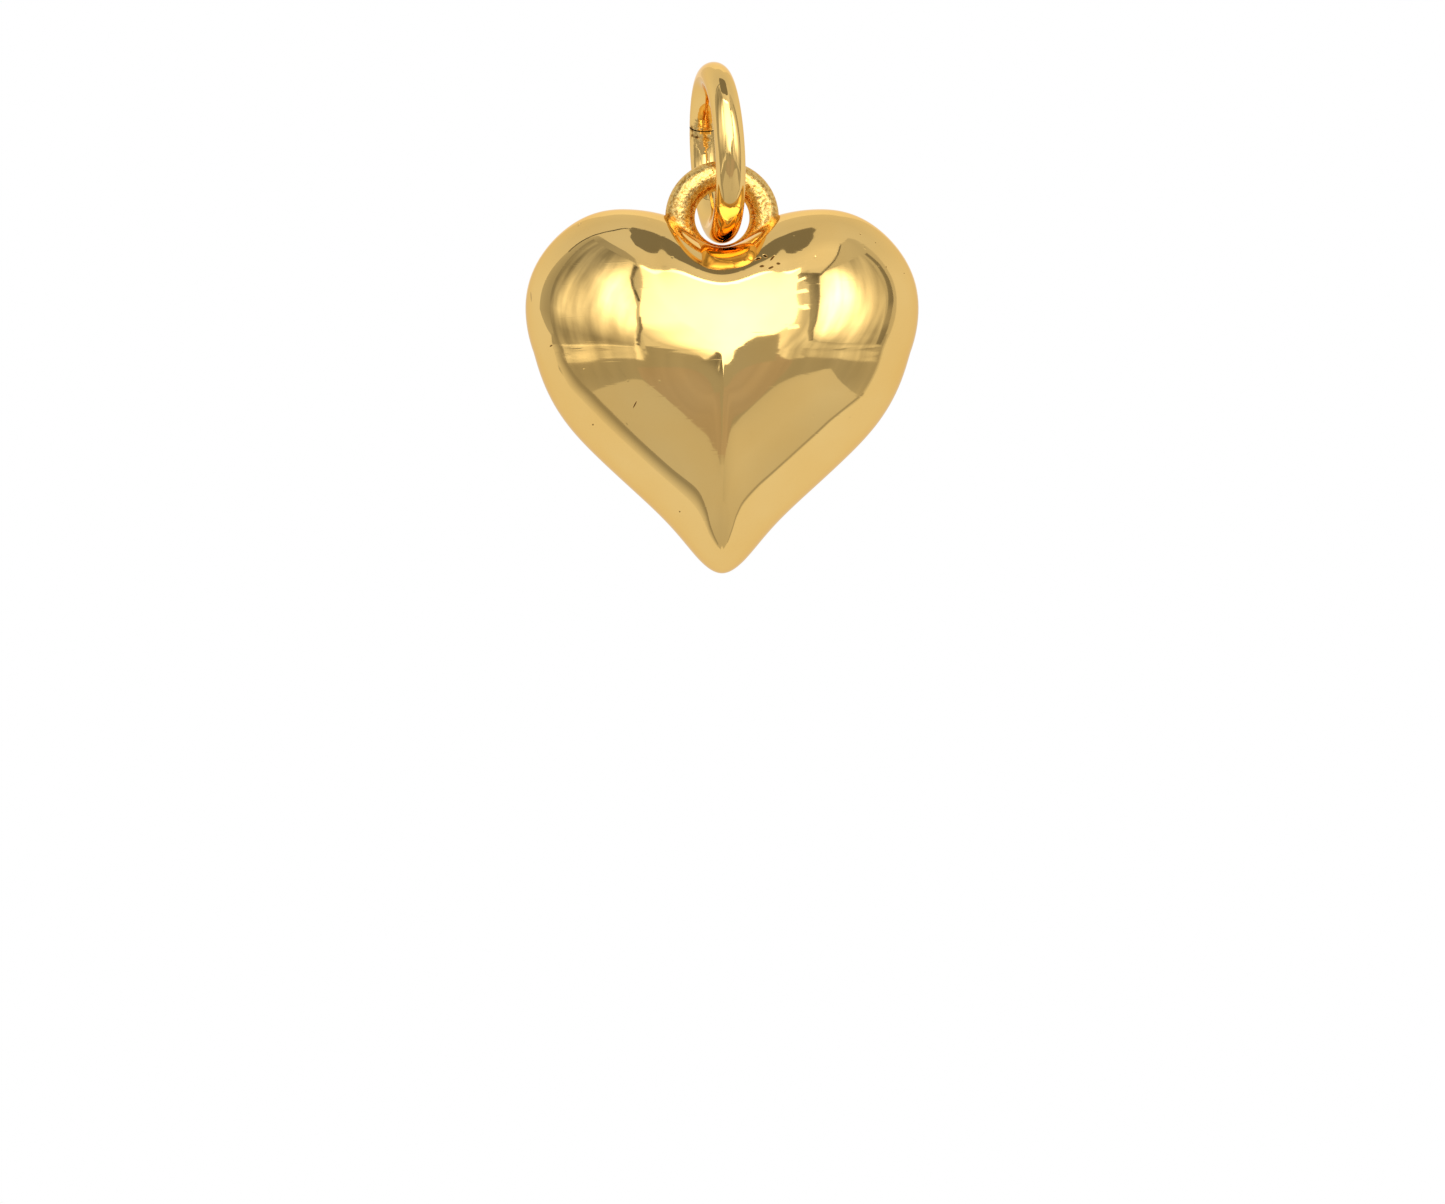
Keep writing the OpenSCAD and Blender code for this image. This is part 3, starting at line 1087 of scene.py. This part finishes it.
# %% Hems and cords beside the front panel
card(
    "strip_left",
    [
        (61, -39, -34.5), (50, -38.5, -34), (40, -37, -34), (30, -33.8, -32.8), (18, -33, -31),
        (-2, -36, -32), (-8, -37, -33),
    ],
    [0.55, 0.75],
    NEAREST,
)
card(
    "cord_left",
    [(60, -38.8, -35.5), (55, -39.2, -37.3), (48, -39, -38), (42, -37.6, -36.6), (33, -34, -33.2)],
    [0.07, 0.07],
    CLOSE,
)
card(
    "seam_left",
    [(24, -32.3, -31.5), (16, -32.2, -30.6), (11, -33, -32), (4, -35.2, -33.2), (-5, -36.5, -35)],
    [0.22, 0.16],
    CLOSE,
)
card(
    "strip_right",
    [
        (56, 31.5, 38), (42, 32, 39), (30, 31, 37.5), (21, 28, 36), (15, 22, 36), (5, 22.5, 37),
        (-4, 23.5, 38), (-8, 26, 38), (-10.5, 30, 37),
    ],
    [1.05, 0.92, 0.9, 1.0],
    NEAREST,
    folds=0.4,
)
card(
    "seam_right",
    [
        (57, 30, 33), (53, 32, 38), (50, 34, 41.8), (45, 37, 40.6), (25, 34, 37.4),
        (12, 33.6, 36.2), (0, 36, 37.8),
    ],
    [0.5, 0.4, 0.26],
    CLOSE,
    folds=0.5,
)
card(
    "cord_right",
    [(48, 40.5, 42), (50, 42.5, 44), (54, 49, 51), (58, 56, 58), (63, 65, 67.5)],
    [0.12, 0.12],
    CLOSE,
)

# %% Dark gaps at the sides
card(
    "gap_right",
    [
        (49, 78.5, 82.5), (40, 82, 86.5), (30, 82.5, 88), (14, 81.5, 88), (8, 81, 87, 1.5),
        (0, 80, 86, 1.6), (-5, 79.5, 86, 1.1), (-14, 80, 85),
    ],
    [0.26, 0.22],
    NEAREST,
)
card(
    "gap_left",
    [
        (46, -96, -94.3), (60, -96, -93.6), (68, -97, -93.8), (73, -101, -97), (76, -107, -101.5),
        (78.5, -122, -112), (80, -142, -126), (81, -172, -150),
    ],
    [0.1, 0.1],
    NEAREST,
)

# %% Bright clips on the right hem
for height, side in ((50, 33.5), (40, 33), (29.5, 31.5), (17.5, 27)):
    rows = [(height + 1.5, side - 2, side + 2.4), (height - 1.1, side - 1.6, side + 3)]
    card(f"clip_{height:.0f}", rows, [2.6, 2.4], CLOSEST)

# %% Rails, ledges and slats under the side panels
card(
    "rail_left",
    [
        (-6.2, -38, -36), (-7.4, -43, -38), (-8.4, -50, -43), (-9.6, -57, -50), (-11.5, -64, -57),
        (-13, -72, -65), (-14.6, -92, -76),
    ],
    [1.0, 1.1, 1.2],
    NEAREST,
    folds=0.3,
)
card(
    "ledge_left",
    [
        (-7, -40, -36), (-8, -45, -34.5), (-10, -57, -34.5), (-11, -60, -37), (-12, -64, -47),
        (-13, -69, -55), (-14, -78, -61), (-15, -91, -66), (-15.8, -94, -76),
    ],
    [0.62, 0.66, 0.74, 0.9, 0.8],
    NEARER,
    folds=0.25,
)
for side in (-80, -68, -58, -50):
    rows = [(-17, side - 0.4, side + 0.4), (-22, side + 1.4, side + 2.2)]
    card(f"slat_{-side}", rows, [0.36, 0.36], CLOSE)
card(
    "post_left",
    [(12, -34.6, -33.8), (0, -36.4, -35), (-8, -38, -35.6), (-11.5, -39, -35.5)],
    [1.4, 1.0],
    CLOSE,
)
card(
    "ledge_right",
    [
        (-1, 36, 38), (-4, 36, 44), (-8, 34, 53), (-10, 37, 62), (-12, 47, 69), (-13, 56, 76),
        (-14.2, 62, 84), (-15.2, 72, 88),
    ],
    [0.6, 0.75, 0.8, 0.66, 0.56],
    NEAREST,
    folds=0.25,
)

# %% Camera and lens
card(
    "lens_shape",
    [
        (0.6, -3, -1.4, 0.6), (-1, -3.9, -0.3, 0.62), (-2.5, -5.5, 1.9, 0.68),
        (-4, -6.8, 3.4, 0.75), (-5, -8.2, 4.4, 0.88), (-6, -9.6, 4.8, 1.04), (-7, -11, 5.8, 1.2),
        (-8.3, -12.5, 6.5, 1.26), (-10, -11, 7.5, 1.28), (-13, -8, 5, 1.28), (-19, -5, 3, 1.3),
        (-27, -3, 2, 1.35),
    ],
    [0.32, 0.32],
    CLOSE,
)
card(
    "camera_shape",
    [(13.3, 19, 22), (12, 14, 22.3), (8, 9.5, 22.6), (3, 6.5, 23), (-1, 6, 23.3), (-10, 5, 24)],
    [0.43, 0.43],
    NEAREST,
)

# %% Panel behind, for the other sides
card("soft_box_back", [(52, 162, 198), (46, 158, 202), (4, 158, 202)], [0.95, 1.0, 0.95], MIDDLE)

# %% [markdown]
# ## Floor, background and plain light
#
# The pendant is shown on a clean white background. Lamps strong enough to whiten a wall
# would wash out the gold, so the white is in the surfaces: camera rays and rays through
# glass see the floor and the world as white, and glossy rays see them a little darker, as the
# table that the rim mirrors is. The light that they cast stays plain: a plain level from the
# world, and none from the floor, which is pale paint to every other ray. Two soft lamps stand
# left and right.

# %% White where it is seen
TABLE_WHITE = 0.82
PLAIN_LEVEL = 0.6


def white_where_seen(tree, plain):
    """White for camera and transmission rays, the table's white for glossy ones, plain for others."""
    ray = add(tree, "ShaderNodeLightPath").outputs
    glossy = {0: ray["Is Glossy Ray"], 2: plain, 3: TABLE_WHITE}
    level = add(tree, "ShaderNodeMix", glossy, data_type="FLOAT")
    straight = {0: ray["Is Camera Ray"], 1: ray["Is Transmission Ray"]}
    seen = add(tree, "ShaderNodeMath", straight, operation="MAXIMUM")
    return add(tree, "ShaderNodeMix", {0: seen, 2: level, 3: 1.0}, data_type="FLOAT")


# %% World
world = bpy.data.worlds.new("white_room")
bpy.context.scene.world = world
tree = emptied(world)
white = white_where_seen(tree, PLAIN_LEVEL)
background = add(tree, "ShaderNodeBackground", {"Color": linear(WHITE), "Strength": white})
add(tree, "ShaderNodeOutputWorld", {"Surface": background})
print("the world lights the pendant at", PLAIN_LEVEL)

# %% Floor
FLOOR_DROP = 1.0
FLOOR_HALF = 4.0
floor_material = bpy.data.materials.new("pale_floor")
tree = emptied(floor_material)
white = white_where_seen(tree, 0.0)
shown = add(tree, "ShaderNodeMath", {0: white, 1: 0.0}, operation="GREATER_THAN")
paint = add(tree, "ShaderNodeBsdfDiffuse", {"Color": linear("#F2F1EE")})
glow = add(tree, "ShaderNodeEmission", {"Color": linear(WHITE), "Strength": white})
mixed = add(tree, "ShaderNodeMixShader", {0: shown, 1: paint, 2: glow})
add(tree, "ShaderNodeOutputMaterial", {"Surface": mixed})

signs = ((-1, -1), (1, -1), (1, 1), (-1, 1))
corners = [(x * FLOOR_HALF, y * FLOOR_HALF, -FLOOR_DROP) for x, y in signs]
floor_mesh = bpy.data.meshes.new("floor")
floor_mesh.from_pydata(corners, [], [(0, 1, 2, 3)])
floor_mesh.materials.append(floor_material)
floor = placed("floor", floor_mesh)
print("the floor lies", FLOOR_DROP, "m under the ring")

# %% Lamps
LAMP_POWER = 1.0
LAMP_SIZE = 0.3
LAMP_SIDE, LAMP_FRONT, LAMP_RISE = 0.5, 0.35, 0.6
for name, side in (("lamp_left", -1), ("lamp_right", 1)):
    lamp_data = bpy.data.lights.new(name, "AREA")
    lamp_data.energy = LAMP_POWER
    lamp_data.size = LAMP_SIZE
    lamp = placed(name, lamp_data)
    lamp.location = TENT_CENTRE + Vector((side * LAMP_SIDE, -LAMP_FRONT, LAMP_RISE))
    lamp.rotation_euler = (TENT_CENTRE - lamp.location).to_track_quat("-Z", "Y").to_euler()
    lamp.visible_glossy = False
    print(name, "is", round((lamp.location - TENT_CENTRE).length, 2), "m from the heart")
